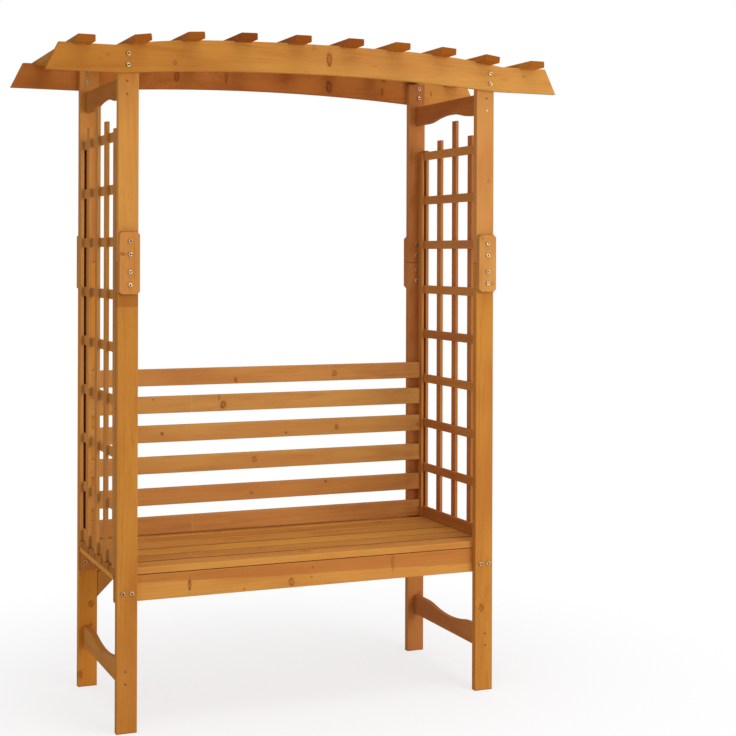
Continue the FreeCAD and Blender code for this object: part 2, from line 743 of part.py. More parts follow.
doc.recompute()
for thing in doc.Objects:
    if "Invalid" in thing.State or "Error" in thing.State:
        raise ValueError("%s did not compute: %s" % (thing.Label, thing.State))
triangles = 0
for node in nodes:
    shape = node.Shape
    if shape.isNull() or not shape.isValid():
        raise ValueError("%s has no valid shape" % node.Label)
    triangles += len(shape.tessellate(0.2)[1])
os.makedirs("parts", exist_ok=True)
for node in nodes:
    node.Shape.exportStep("parts/%s.step" % node.Label)
print("%d nodes, about %d triangles" % (len(nodes), triangles))
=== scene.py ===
# %% [markdown]
# Arbour seat. The object is a slatted garden bench under an arched roof of rafters, with a trellis at
# each side. All its boards are planed softwood in a honey-brown stain, held by zinc-plated bolts. The
# solids come ready from the frame, so this lesson gives them their wood, swaps the plain bolts for
# turned ones, and adds three small screws.

# %% Load the frame
import json
import math
import random

import bmesh
import bpy
from mathutils import Matrix, Vector

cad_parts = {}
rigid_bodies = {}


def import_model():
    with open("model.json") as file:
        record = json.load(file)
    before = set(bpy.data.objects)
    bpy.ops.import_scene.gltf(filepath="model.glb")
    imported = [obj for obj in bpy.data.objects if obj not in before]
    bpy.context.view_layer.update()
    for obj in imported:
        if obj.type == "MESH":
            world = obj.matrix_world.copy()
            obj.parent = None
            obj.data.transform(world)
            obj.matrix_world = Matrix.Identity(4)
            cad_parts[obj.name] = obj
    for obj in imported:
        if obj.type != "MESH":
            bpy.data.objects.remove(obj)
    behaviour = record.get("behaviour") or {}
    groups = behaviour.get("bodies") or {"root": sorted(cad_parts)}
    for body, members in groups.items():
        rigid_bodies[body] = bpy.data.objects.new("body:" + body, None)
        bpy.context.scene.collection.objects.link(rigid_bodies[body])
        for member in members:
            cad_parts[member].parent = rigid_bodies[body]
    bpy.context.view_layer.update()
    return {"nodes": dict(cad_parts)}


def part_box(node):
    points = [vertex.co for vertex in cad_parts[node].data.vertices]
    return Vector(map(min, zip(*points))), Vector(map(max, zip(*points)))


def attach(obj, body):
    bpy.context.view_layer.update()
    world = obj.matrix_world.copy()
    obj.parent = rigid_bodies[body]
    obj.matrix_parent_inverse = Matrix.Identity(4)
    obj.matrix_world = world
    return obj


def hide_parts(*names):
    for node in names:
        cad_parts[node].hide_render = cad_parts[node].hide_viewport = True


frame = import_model()

# %% [markdown]
# The camera comes first, because every other choice is judged through it. The photograph was taken
# from about eye height, a good four metres away and to the left, with the lens level, so the posts
# stay upright. A camera tilted down would frame the seat as well, but its posts would lean together,
# so this one stays level and has a vertical shift.

# %% Camera
picture = 736
focal_pixels = 1503.13
horizon_row = 255.54
sensor = 36.0
camera_data = bpy.data.cameras.new("photo_camera")
camera_data.sensor_width = sensor
camera_data.lens = focal_pixels / picture * sensor
camera_data.shift_y = (horizon_row - picture / 2) / picture
camera = bpy.data.objects.new("photo_camera", camera_data)
bpy.context.scene.collection.objects.link(camera)
turn = Matrix.Rotation(math.radians(-22.908), 4, "Z") @ Matrix.Rotation(math.radians(90), 4, "X")
roll = Matrix.Rotation(math.radians(0.182), 4, "Z")
camera.matrix_world = Matrix.Translation((-1.6068, -4.4748, 1.3635)) @ turn @ roll
bpy.context.scene.camera = camera
print("camera lens:", round(camera_data.lens, 2), "mm, shift:", round(camera_data.shift_y, 4))

# %% [markdown]
# A finish is made of nodes, and wood needs dozens of them that only add or multiply. They could be
# made and linked one by one, but nobody could read that. So one small class wraps a socket, and
# Python's own signs add the Math nodes: mask * 0.5 is a node, and so is 1 - mask.


# %% Signal, a socket that can be used in sums
class Signal:
    """Wraps a socket, so that shader maths reads like ordinary maths."""

    def __init__(self, tree, socket=None):
        self.tree = tree
        self.socket = socket

    def node(self, kind, settings=None, inputs=None, output=0):
        """Adds any node: its settings first, then the values or links of its sockets."""
        made = self.tree.nodes.new(kind)
        for name, value in (settings or {}).items():
            setattr(made, name, value)
        for name, value in (inputs or {}).items():
            if isinstance(value, Signal):
                self.tree.links.new(value.socket, made.inputs[name])
            else:
                made.inputs[name].default_value = value
        return Signal(self.tree, made.outputs[output])

    def maths(self, operation, *values):
        return self.node("ShaderNodeMath", {"operation": operation}, dict(enumerate(values)))

    def __add__(self, other):
        return self.maths("ADD", self, other)

    def __radd__(self, other):
        return self.maths("ADD", other, self)

    def __sub__(self, other):
        return self.maths("SUBTRACT", self, other)

    def __rsub__(self, other):
        return self.maths("SUBTRACT", other, self)

    def __mul__(self, other):
        return self.maths("MULTIPLY", self, other)

    def __truediv__(self, other):
        return self.maths("DIVIDE", self, other)

    def __abs__(self):
        return self.maths("ABSOLUTE", self)

    def power(self, exponent):
        return self.maths("POWER", self, exponent)

    def step(self, low, high):
        """Smooth rise from 0 at low to 1 at high."""
        return self.node(
            "ShaderNodeMapRange",
            {"interpolation_type": "SMOOTHSTEP"},
            {"Value": self, "From Min": low, "From Max": high},
        )

    def vector(self, x, y, z):
        return self.node("ShaderNodeCombineXYZ", None, {"X": x, "Y": y, "Z": z})

    def noise(self, place, scale, detail=2.0, rough=0.5):
        return self.node(
            "ShaderNodeTexNoise", None,
            {"Vector": place, "Scale": scale, "Detail": detail, "Roughness": rough},
        )

    def mix(self, factor, first, second, blend="MIX"):
        """One colour over another, or times another with blend MULTIPLY."""
        settings = {"data_type": "RGBA", "blend_type": blend}
        return self.node("ShaderNodeMix", settings, {0: factor, 6: first, 7: second}, output=2)


print("named ways to add a node:", sum(not name.startswith("_") for name in vars(Signal)))


# %% Colours and empty materials
point_output = 3
normal_output = 1


def paint(red, green, blue):
    """A colour as a paint shop writes it, 0 to 255, turned into light."""
    values = []
    for part in (red, green, blue):
        part = part / 255
        values.append(part / 12.92 if part <= 0.04045 else ((part + 0.055) / 1.055) ** 2.4)
    return (values[0], values[1], values[2], 1.0)


def new_material(name):
    """An empty material, its principled shader and a Signal to start from."""
    material = bpy.data.materials.new(name)
    material.use_nodes = True
    shader = material.node_tree.nodes["Principled BSDF"]
    return material, shader, Signal(material.node_tree)


def join(shader, socket, signal):
    """Links a signal to one socket of a shader."""
    shader.id_data.links.new(signal.socket, shader.inputs[socket])


print("a middle grey of the paint shop, as light:", round(paint(128, 128, 128)[0], 3))

# %% [markdown]
# A garden seat in a catalogue stands in soft light on a white ground. One large panel lamp stands in
# front, to the right, and lights the fronts of the boards. Another hangs above and lights the seat.
# One sun lamp would be less work, but its shadows are hard, and here they are soft. A white surround
# fills the shaded sides. The camera sees it at full white, and so do the glossy bolts, while the
# boards get a little over half of it.

# %% White surround
surround_level = 0.56
world = bpy.data.worlds.new("white_surround")
bpy.context.scene.world = world
world.use_nodes = True
surround = world.node_tree.nodes["Background"]
surround.inputs["Color"].default_value = (1.0, 1.0, 1.0, 1.0)
sky = Signal(world.node_tree)
ray = world.node_tree.nodes.new("ShaderNodeLightPath")
seen = Signal(world.node_tree, ray.outputs["Is Camera Ray"])
glossy = Signal(world.node_tree, ray.outputs["Is Glossy Ray"])
direct = sky.maths("MAXIMUM", seen, glossy)
strength = surround_level + direct * (1.0 - surround_level)
world.node_tree.links.new(strength.socket, surround.inputs["Strength"])
bpy.context.scene.view_settings.view_transform = "Standard"
print("surround:", surround_level)


# %% Lamps
def hang_lamp(name, place, aim, width, height, watts):
    """A rectangular soft box at one point, turned to another."""
    data = bpy.data.lights.new(name, "AREA")
    data.shape = "RECTANGLE"
    data.size = width
    data.size_y = height
    data.energy = watts
    lamp = bpy.data.objects.new(name, data)
    bpy.context.scene.collection.objects.link(lamp)
    lamp.location = place
    lamp.rotation_euler = (Vector(place) - Vector(aim)).to_track_quat("Z", "Y").to_euler()


hang_lamp("panel_lamp", (2.0, -4.4, 1.8), (0.0, 0.0, 1.2), width=3.2, height=2.0, watts=102.0)
hang_lamp("ceiling_lamp", (0.2, -0.8, 4.6), (0.1, -0.1, 0.5), width=2.8, height=2.0, watts=51.0)
print("lamps:", [(lamp.name, lamp.energy) for lamp in bpy.data.lights])

# %% [markdown]
# The floor is a wide pale disc, so that no corner or horizon shows. A plain white floor would look
# grey where the lamps don't reach it, so what the camera sees of it is mostly its own white glow, all
# of it from two metres out. Near the feet enough of the real floor is left to show their shadow.

# %% Floor
floor_radius = 40.0
glow_near = 0.70
floor_mesh = bpy.data.meshes.new("pale_floor")
floor_shape = bmesh.new()
bmesh.ops.create_circle(floor_shape, cap_ends=True, segments=96, radius=floor_radius)
floor_shape.to_mesh(floor_mesh)
floor_shape.free()
floor = bpy.data.objects.new("pale_floor", floor_mesh)
bpy.context.scene.collection.objects.link(floor)
floor.location.z = -0.0005
floor_material, floor_shader, floor_start = new_material("pale_floor")
floor_shader.inputs["Base Color"].default_value = (0.93, 0.93, 0.93, 1.0)
floor_shader.inputs["Roughness"].default_value = 0.9
spot = floor_start.node("ShaderNodeTexCoord", output=point_output)
away = floor_start.node("ShaderNodeVectorMath", {"operation": "LENGTH"}, {0: spot}, output=1)
floor_ray = floor_material.node_tree.nodes.new("ShaderNodeLightPath")
floor_seen = Signal(floor_material.node_tree, floor_ray.outputs["Is Camera Ray"])
glow = floor_start.node(
    "ShaderNodeEmission", None, {"Color": (1.0, 1.0, 1.0, 1.0), "Strength": 1.0}
)
fade = (glow_near + away.step(0.5, 1.8) * (1.0 - glow_near)) * floor_seen
blend = floor_start.node(
    "ShaderNodeMixShader", None,
    {0: fade, 1: Signal(floor_material.node_tree, floor_shader.outputs[0]), 2: glow},
)
floor_output = floor_material.node_tree.nodes["Material Output"]
floor_material.node_tree.links.new(blend.socket, floor_output.inputs["Surface"])
floor_mesh.materials.append(floor_material)
print("floor radius:", floor_radius, "m")

# %% [markdown]
# The wood is the main finish. Planed softwood shows growth rings, which run along a board as long
# stripes and close into arches where the tree tapers. Knots are branches that the board cuts through,
# so the rings bend round them. The stain is transparent: late wood and knots stay darker and redder.
# The rounded arrises look a little paler, partly where the stain wore thin and partly as a painted
# highlight. A picture of wood could be wrapped round each board, but then the grain of a face wouldn't
# run on over the edge. So all of this is worked out from the place of a point on its board.

# %% Colours of the stain
pale_stain = paint(203, 138, 62)
honey_stain = paint(190, 124, 52)
late_stain = paint(163, 95, 35)
red_stain = paint(168, 92, 40)
deep_stain = paint(140, 72, 30)
knot_stain = paint(138, 70, 32)
knot_rim = paint(98, 46, 20)
# Pale lines of the glued seams, and the paler arrises, which are partly worn and partly a painted
# highlight.
pale_line_and_highlight = paint(206, 146, 72)
# Painted shade for the gaps between boards, also used for the dark end lines, which are partly soaked
# stain.
gap_shade_and_end_soak = paint(112, 42, 12)
end_pale = paint(188, 116, 38)
end_dark = paint(150, 80, 24)
print("palest and darkest stain:", [round(value, 3) for value in (pale_stain[0], knot_rim[0])])

# %% [markdown]
# A knot is an oval with a dark ragged rim, a paler heart and a reddish halo in the wood around it. A
# seam is a finger joint, where a long board is glued up from two lengths: a thin pale line, and
# another tone beyond. Both could be small pieces of mesh, but on the real board they are in the wood
# and can't be felt, so they are masks in the stain, and a list gives their places.


# %% Knots
def knot_masks(u, v, knots, wobble):
    """The bend of the rings, and the heart, rim and halo of the knots, each from 0 to 1."""
    masks = []
    for knot_u, knot_v, half_u, half_v, depth in knots:
        across = (u - knot_u) / half_u
        upward = (v - knot_v) / half_v
        far = (across * across + upward * upward).power(0.5) + wobble
        bend = 1.0 - far.step(0.5, 4.0)
        heart = (1.0 - far.step(0.72, 0.95)) * depth
        rim = far.step(0.62, 0.9) * (1.0 - far.step(1.02, 1.35)) * depth
        halo = (1.0 - far.step(0.9, 2.6)) * depth
        found = [bend, heart, rim, halo]
        masks = [old.maths("MAXIMUM", old, new) for old, new in zip(masks, found)] if masks else found
    return masks


print("masks of a knot: bend, heart, rim, halo")


# %% Seams
teeth_per_metre = 62.0


def seam_masks(u, v, seams):
    """The number of the length that a point is on, how red it is, and a thin line at its joints."""
    teeth = (v * teeth_per_metre).maths("PINGPONG", v * teeth_per_metre, 0.5)
    edge = u + teeth * 0.003
    count = redness = line = None
    before = 0.0
    for place, red in seams:
        beyond = edge.maths("GREATER_THAN", edge, place)
        near = 1.0 - abs(edge - place).step(0.0010, 0.0040)
        count = beyond if count is None else count + beyond
        redness = beyond * (red - before) if redness is None else redness + beyond * (red - before)
        line = near if line is None else line.maths("MAXIMUM", line, near)
        before = red
    return count, redness, line


print("teeth across a broad board:", round(0.074 * teeth_per_metre, 1))

# %% [markdown]
# Grain follows the board, not the room, so a point is first measured on its own board: u runs along
# the grain, v across the broad face and w through the thickness. A board's box gives all three,
# because its longest side is its grain. A node of equal laths has one box, so there the laths are
# counted by their pitch. Every board and every length beyond a seam gets another piece of the noise,
# as from another tree.


# %% The measures of a board
class Board:
    """Where a point lies on its board, and which piece of the noise that board has."""

    def __init__(self, start, box, seed, seams, laths):
        self.start = start
        self.low, self.high = box
        self.chance = random.Random(seed)
        self.spread = [self.high[i] - self.low[i] for i in range(3)]
        places = self.parts_of(point_output)
        if laths:
            along, across, through, first, pitch, self.width, self.thick = laths
        else:
            along, across, through = sorted(range(3), key=lambda i: -self.spread[i])
            self.width, self.thick = self.spread[across], self.spread[through]
        self.along = along
        self.facing_end = abs(self.parts_of(normal_output)[along])
        self.u = places[along]
        self.w = places[through] - (self.low[through] + self.high[through]) / 2
        self.shift = self.chance.uniform(0, 50)
        self.offset = self.shift
        self.redness = self.seam_line = None
        if laths:
            count = (places[across] - first) / pitch + 0.5
            number = count.maths("FLOOR", count)
            self.v = places[across] - first - number * pitch
            dice = {"W": number + self.shift}
            self.redness = start.node("ShaderNodeTexWhiteNoise", {"noise_dimensions": "1D"}, dice)
            self.offset = self.redness * 31.0 + self.shift
        else:
            self.v = places[across] - (self.low[across] + self.high[across]) / 2
        if seams:
            number, self.redness, self.seam_line = seam_masks(self.u, self.v, seams)
            self.offset = number * 31.0 + self.shift

    def parts_of(self, output):
        """The x, y and z of a point, or of the way that its face looks."""
        whole = self.start.node("ShaderNodeTexCoord", output=output)
        return [
            self.start.node("ShaderNodeSeparateXYZ", None, {0: whole}, output=i) for i in range(3)
        ]


print("measures of a board: u along, v across, w through")

# %% [markdown]
# A board is cut from a trunk, so its grain is a slice through rings round a pith. Stripes could be
# drawn straight along the board, but real ones drift, close into arches and bend round knots. Here the
# pith is a line outside the board, and the rings are the distance from it, bent a little by noise.


# %% Growth rings
rings_per_metre = 170.0


def growth_rings(board, knots):
    """Late wood from 0 to 1, and the wander, the ripple, the reach from the pith and the masks."""
    start, u, v, w = board.start, board.u, board.v, board.w
    shift, offset, chance, width = board.shift, board.offset, board.chance, board.width
    wander = start.noise(start.vector(u * 1.1 + offset, v * 4.0, w * 4.0 + shift), 1.0, 2.0)
    ring_v = v - chance.uniform(-0.5, 0.5) * width + (wander - 0.5) * 0.030
    ring_w = w + chance.uniform(0.6, 1.6) * width
    reach = (ring_v * ring_v + ring_w * ring_w).power(0.5)
    years = start.noise(start.vector(reach * 55.0 + offset, u * 0.4, shift), 1.0, 1.0)
    rings = (reach + u * chance.uniform(0.008, 0.020)) * rings_per_metre + (years - 0.5) * 3.2
    ripple = start.noise(start.vector(u * 9.0 + offset, v * 60.0, w * 60.0), 1.0, 2.0)
    masks = None
    if knots:
        burr = start.noise(start.vector(u * 160.0 + shift, v * 160.0, w * 40.0), 1.0, 2.0)
        masks = knot_masks(u, v, knots, (burr - 0.5) * 1.5)
        rings = rings + masks[0] * 2.0
    rings = rings + (ripple - 0.5) * 0.9
    within = rings.maths("FRACT", rings)
    late = within.step(0.30, 0.95) * (1.0 - within.step(0.95, 1.0))
    return late, wander, ripple, reach, masks


print("rings in 10 cm of wood:", round(rings_per_metre / 10))

# %% [markdown]
# Between the rings the wood is made of fibres. Close up they are fine dark streaks, some of them short
# dashes where a pore was cut open, and from further away the stain shows soft clouds of paler and
# redder wood. One noise can't hold such different sizes, so there is one for each, all of them drawn
# out long along the grain.


# %% Fibres and clouds
def fibres(board):
    """Coarse and fine streaks, short dashes, and clouds of darker and of warmer wood."""
    start, u, v, w = board.start, board.u, board.v, board.w
    shift, offset = board.shift, board.offset
    coarse = start.noise(start.vector(u * 5.0 + offset, v * 170.0, w * 170.0), 1.0, 3.0, 0.6)
    fine = start.noise(start.vector(u * 26.0 + offset, v * 900.0, w * 900.0), 1.0, 2.0, 0.6)
    dashes = start.noise(start.vector(u * 24.0 + offset, v * 230.0 + shift, w * 230.0), 1.0, 1.0)
    cloud = start.noise(start.vector(u * 4.6 + offset, v * 20.0, w * 20.0 + shift), 1.0, 3.0, 0.6)
    warm = start.noise(start.vector(u * 2.3 + shift, v * 9.0 + offset, w * 9.0), 1.0, 2.0, 0.5)
    return coarse, fine, dashes, cloud, warm


print("noises of the fibres: coarse, fine, dashes, cloud, warm")


# %% Stain over the grain
def stain(board, late, wander, ripple, masks, streaks, band):
    """The colour of the flat faces; a band is redder wood beyond a line along the board."""
    start = board.start
    coarse, fine, dashes, cloud, warm = streaks
    strong = cloud.step(0.36, 0.66)
    colour = start.mix(late * (strong * 0.20 + 0.06), pale_stain, late_stain)
    colour = start.mix(coarse.step(0.35, 0.75) * 0.34, colour, honey_stain)
    colour = start.mix(coarse.step(0.58, 0.80) * 0.16, colour, late_stain)
    colour = start.mix(warm.step(0.42, 0.68) * 0.36, colour, red_stain)
    colour = start.mix(cloud.step(0.50, 0.72) * 0.20, colour, late_stain)
    colour = start.mix(dashes.step(0.64, 0.78) * 0.26, colour, late_stain)
    colour = start.mix(fine.step(0.50, 0.80) * 0.10, colour, late_stain)
    if band:
        middle, slope, depth = band
        wavy = board.v + board.u * slope + (wander - 0.5) * 0.020 + (ripple - 0.5) * 0.004
        colour = start.mix(wavy.step(middle - 0.003, middle + 0.003) * depth, colour, red_stain)
    if board.redness is not None:
        colour = start.mix(board.redness * 0.26, colour, deep_stain)
    if board.seam_line is not None:
        colour = start.mix(board.seam_line * 0.45, colour, pale_line_and_highlight)
    if masks:
        colour = start.mix(masks[3] * 0.30, colour, red_stain)
        colour = start.mix(masks[1] * 0.55, colour, knot_stain)
        colour = start.mix(masks[2] * 0.92, colour, knot_rim)
    return colour


print("stains mixed over the palest one: honey, late, red, deep")

# %% [markdown]
# Edges tell more than faces. The arrises are paler, partly where the stain wore thin and partly as a
# painted highlight. The gaps between boards laid side by side get a painted shade. The ends get dark
# lines, partly stain soaked into the cut and partly painted shade in the joint, and sawn ends show the
# rings end-on. An edge could be found from the shape of the mesh, but a board's measures already say
# how far every point is from its sides and ends.


# %% Edges and ends
def edges(board, colour, cloud, shaded_sides):
    """Paler arrises, partly worn and partly a painted highlight; painted shade in gaps; dark ends,
    partly soak.
    """
    start, v = board.start, board.v
    gap_v = board.width / 2 - abs(v)
    gap_w = board.thick / 2 - abs(board.w)
    from_edge = gap_v.maths("MAXIMUM", gap_v, gap_w)
    # Paler arrises: partly stain worn thin, partly a painted highlight of the rounded edge.
    worn_and_highlit = (1.0 - from_edge.step(0.0008, 0.0040)) * (cloud * 0.30 + 0.16)
    colour = start.mix(worn_and_highlit, colour, pale_line_and_highlight)
    for from_side, reach_in in zip((v + board.width / 2, board.width / 2 - v), shaded_sides):
        if reach_in:
            # Painted shade in the gap where this side meets the next board.
            gap_shade_mask = 1.0 - from_side.step(reach_in * 0.3, reach_in)
            colour = start.mix(gap_shade_mask * 0.75, colour, gap_shade_and_end_soak)
    # Dark lines at the ends: partly stain soaked into the cut, partly painted shade in the joint.
    from_low = board.u - board.low[board.along]
    from_end = from_low.maths("MINIMUM", from_low, board.high[board.along] - board.u)
    return start.mix((1.0 - from_end.step(0.0008, 0.0030)) * 0.55, colour, gap_shade_and_end_soak)


def sawn_ends(board, colour, reach):
    """The rings of a sawn end over the colour of the faces, and where that end is."""
    start = board.start
    sawn = board.facing_end.step(0.80, 0.95)
    end_rings = (reach * 260.0).maths("FRACT", reach * 260.0)
    end_colour = start.mix(end_rings, end_pale, end_dark)
    return start.mix(sawn * 0.85, colour, end_colour), sawn


print("edges: worn arrises, soaked sides, sawn ends")


# %% Wood, one material for each board
def wood(name, box, seed, tone, knots=(), seams=(), laths=None, band=None, far_tone_and_light=None,
         shaded_sides=(0.0, 0.0)):
    """A stained board. Its box gives the grain direction; knots and seams are placed in metres."""
    material, shader, start = new_material(name)
    board = Board(start, box, seed, seams, laths)
    late, wander, ripple, reach, masks = growth_rings(board, knots)
    streaks = fibres(board)
    coarse, fine, cloud = streaks[0], streaks[1], streaks[3]
    colour = stain(board, late, wander, ripple, masks, streaks, band)
    colour = edges(board, colour, cloud, shaded_sides)
    colour, sawn = sawn_ends(board, colour, reach)
    shade = tone + (1.0,)
    # On the rear beam this change towards one end is painted light: the beam is lighter outside the
    # shade of the roof.
    if far_tone_and_light:
        other, turn_from, turn_to = far_tone_and_light
        far = (board.u - board.low[board.along]) / board.spread[board.along]
        shade = start.mix(far.step(turn_from, turn_to), shade, other + (1.0,))
    join(shader, "Base Color", start.mix(1.0, colour, shade, "MULTIPLY"))
    join(shader, "Roughness", late * 0.05 + coarse * 0.14 + sawn * 0.10 + 0.64)
    height = coarse * 0.5 + fine * 0.35 + late * 0.25
    bump = start.node("ShaderNodeBump", None, {"Strength": 0.16, "Distance": 0.0012, "Height": height})
    join(shader, "Normal", bump)
    shader.inputs["Specular IOR Level"].default_value = 0.08
    return material


def dress(node, material):
    """Gives a solid from the frame its finish."""
    solid = bpy.data.objects[node]
    solid.data.materials.clear()
    solid.data.materials.append(material)


print("wood ready")

# %% [markdown]
# Softwood takes a stain unevenly, so the boards of one seat come out in several tones. Each board
# could have its own colour by chance, but then the light and dark boards would stand in the wrong
# places. So there are thirteen tones, from cream to dark, and each lists its boards: the posts and the
# seat are light, the rear beam and the rafters are dark and red. Two beams grow lighter towards their
# right ends: the front beam along its length, and the rear beam beyond the rear-right post, where a
# painted light stands for the light outside the shade of the roof.

# %% Tones of the boards
tones = {
    "plain": (1.00, 1.04, 1.12),
    "bright": (1.12, 1.20, 1.06),
    "pale": (0.96, 0.99, 1.36),
    "cream": (1.00, 1.13, 1.52),
    "amber": (0.88, 0.84, 0.70),
    "straw": (1.12, 1.08, 0.74),
    "tan": (0.94, 0.91, 1.08),
    "rose": (0.86, 0.77, 1.05),
    "ochre": (0.82, 0.76, 0.55),
    "russet": (0.76, 0.58, 0.57),
    "brown": (0.76, 0.62, 0.36),
    "umber": (0.64, 0.46, 0.32),
    "dark": (0.54, 0.35, 0.30),
}
boards_of = {
    "plain": (
        "upper_post_front_left", "front_apron", "gusset_left", "gusset_right", "seat_slat_1",
        "seat_slat_2", "seat_slat_4", "seat_slat_5", "trellis_rails_left", "trellis_uprights_left",
    ),
    "bright": ("seat_slat_3", "seat_slat_6"),
    "pale": ("upper_post_front_right", "backrest_slat_1", "backrest_slat_2", "backrest_slat_6"),
    "cream": ("splice_plate_front_right", "backrest_slat_3", "backrest_slat_4", "backrest_slat_5"),
    "amber": (
        "lower_post_front_left", "lower_post_front_right", "side_stretcher_left",
        "seat_bearer_centre",
    ),
    "straw": ("lower_post_rear_left", "seat_bearer_left", "seat_bearer_right"),
    "tan": (
        "splice_plate_front_left", "upper_post_rear_left", "splice_plate_rear_left",
        "trellis_rails_right", "trellis_battens_right", "rear_apron",
    ),
    "rose": (
        "trellis_uprights_right", "upper_post_rear_right", "splice_plate_rear_right",
        "lower_post_rear_right", "side_stretcher_right",
    ),
    "ochre": ("front_beam", "rafter_1", "rafter_10", "trellis_battens_left"),
    "russet": ("rear_beam", "top_side_rail_right"),
    "brown": ("top_side_rail_left", "rafter_2", "rafter_3", "rafter_7", "rafter_8", "rafter_9"),
    "umber": ("rafter_5", "rafter_6"),
    "dark": ("rafter_4",),
}
tints = {node: tones[tone] for tone, nodes in boards_of.items() for node in nodes}
# Painted light on the rear beam: lighter beyond the rear-right post, outside the shade of the roof. The
# front beam grows lighter towards its right end.
tone_and_light_ramps = {
    "front_beam": ((0.97, 1.06, 1.23), 0.0, 0.8),
    "rear_beam": ((0.95, 0.95, 1.04), 0.80, 0.88),
}
print("boards with a tone:", len(tints), "tones:", len(tones))

# %% [markdown]
# The knots and glued seams of the boards in view are listed one by one, at their places along and
# across the board, because they are what the eye finds first. The other boards get theirs by chance.

# %% Knots, seams and shaded sides of single boards
# A knot is its place along and across the board, half its length and width, and how dark it is.
knots_at = {
    "front_beam": [
        (-0.440, -0.0205, 0.005, 0.006, 0.45), (0.035, 0.0145, 0.007, 0.017, 0.8),
        (-0.014, 0.0455, 0.005, 0.006, 0.3), (0.696, -0.004, 0.006, 0.003, 0.4),
        (0.625, -0.0185, 0.009, 0.002, 0.3), (-0.635, -0.0075, 0.005, 0.004, 0.3),
    ],
    "rear_beam": [
        (-0.279, 0.0045, 0.007, 0.014, 0.7), (-0.112, 0.0125, 0.004, 0.020, 0.55),
        (0.252, -0.0065, 0.009, 0.017, 0.75), (0.448, -0.0145, 0.004, 0.010, 0.6),
        (0.455, 0.0225, 0.007, 0.003, 0.7), (0.634, -0.0135, 0.0025, 0.007, 0.6),
        (-0.315, 0.004, 0.040, 0.020, 0.22), (-0.125, 0.020, 0.022, 0.012, 0.22),
    ],
    "backrest_slat_6": [(-0.089, -0.014, 0.005, 0.007, 0.7), (0.257, -0.002, 0.007, 0.009, 0.55)],
    "backrest_slat_5": [(-0.132, -0.006, 0.008, 0.010, 0.85), (-0.146, 0.017, 0.003, 0.008, 0.5)],
    "backrest_slat_4": [
        (-0.336, 0.0, 0.004, 0.004, 0.9), (0.086, -0.014, 0.004, 0.003, 0.9),
        (0.266, -0.003, 0.006, 0.007, 0.7),
    ],
    "backrest_slat_3": [(-0.024, 0.003, 0.007, 0.009, 0.5)],
    "backrest_slat_2": [(-0.034, -0.005, 0.006, 0.004, 0.6), (0.227, 0.018, 0.004, 0.003, 0.9)],
    "seat_slat_6": [(-0.155, -0.026, 0.008, 0.005, 0.8)],
    "seat_slat_5": [(0.399, 0.036, 0.010, 0.006, 0.8)],
    "seat_slat_3": [(0.370, -0.041, 0.008, 0.004, 0.5)],
    "seat_slat_1": [(-0.001, 0.013, 0.012, 0.006, 0.5)],
    "front_apron": [
        (0.267, 0.012, 0.004, 0.020, 0.5), (0.004, 0.019, 0.003, 0.003, 0.5),
        (0.000, -0.011, 0.003, 0.003, 0.5), (-0.379, -0.002, 0.004, 0.014, 0.8),
        (-0.064, -0.021, 0.007, 0.010, 0.55), (-0.212, -0.029, 0.002, 0.002, 1.0),
    ],
    "lower_post_front_right": [(0.258, -0.009, 0.010, 0.007, 0.6)],
    "lower_post_rear_left": [
        (0.259, 0.010, 0.009, 0.007, 0.6), (0.192, 0.010, 0.004, 0.004, 0.6),
        (0.038, -0.024, 0.010, 0.006, 0.7),
    ],
    "upper_post_front_left": [],
    "upper_post_front_right": [(1.60, 0.012, 0.005, 0.003, 0.4)],
    "lower_post_front_left": [],
    "backrest_slat_1": [],
    "gusset_left": [],
    "gusset_right": [],
    "splice_plate_front_left": [
        (1.345, 0.013, 0.045, 0.0010, 0.45), (1.366, -0.021, 0.004, 0.006, 0.6),
    ],
    "splice_plate_front_right": [
        (1.419, -0.019, 0.005, 0.005, 0.35), (1.276, 0.016, 0.005, 0.005, 0.35),
    ],
}
# A seam is its place along the board, and how red the length beyond it is.
seams_at = {
    "backrest_slat_1": [(-1.0, 0.5), (-0.235, 0.1)],
    "backrest_slat_5": [(-1.0, 0.2), (-0.238, 0.0)],
    "seat_slat_2": [(-1.0, 0.9), (-0.34, 0.1)],
    "seat_slat_3": [(-1.0, 0.5), (-0.36, 0.0)],
    "seat_slat_4": [(0.11, 0.3)],
    "seat_slat_5": [(-0.41, 0.3)],
    "rear_apron": [(0.2, 0.4)],
    "lower_post_front_left": [(1.213, 0.9)],
    "lower_post_rear_right": [(0.95, 0.4)],
}
# A shaded side is how far in the painted shade of a gap reaches, at the low and at the high side of the
# face.
shaded_gap_sides = {
    "seat_slat_1": (0.0, 0.0024),
    "seat_slat_2": (0.0024, 0.0010),
    "seat_slat_3": (0.0010, 0.0024),
    "seat_slat_4": (0.0024, 0.0),
}
red_bands = {"front_apron": (0.0, 0.026, 0.55)}
print("knots set by hand:", sum(len(knots) for knots in knots_at.values()), "seams:", len(seams_at))


# %% Knots by chance
def chance_knots(box, seed):
    """Up to four knots, a little under one for each metre of board."""
    low, high = box
    spread = [high[i] - low[i] for i in range(3)]
    order = sorted(range(3), key=lambda i: -spread[i])
    chance = random.Random(seed * 7 + 3)
    knots = []
    for _ in range(int(spread[order[0]] * 0.8 + 0.5)):
        u = chance.uniform(low[order[0]] + 0.03, high[order[0]] - 0.03)
        v = chance.uniform(-0.35, 0.35) * spread[order[1]]
        half = chance.uniform(0.002, 0.006)
        knots.append((u, v, half * chance.uniform(0.9, 1.6), half, chance.uniform(0.3, 0.7)))
    return knots[:4]


print("knots by chance on the first rafter:", len(chance_knots(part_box("rafter_1"), 0)))

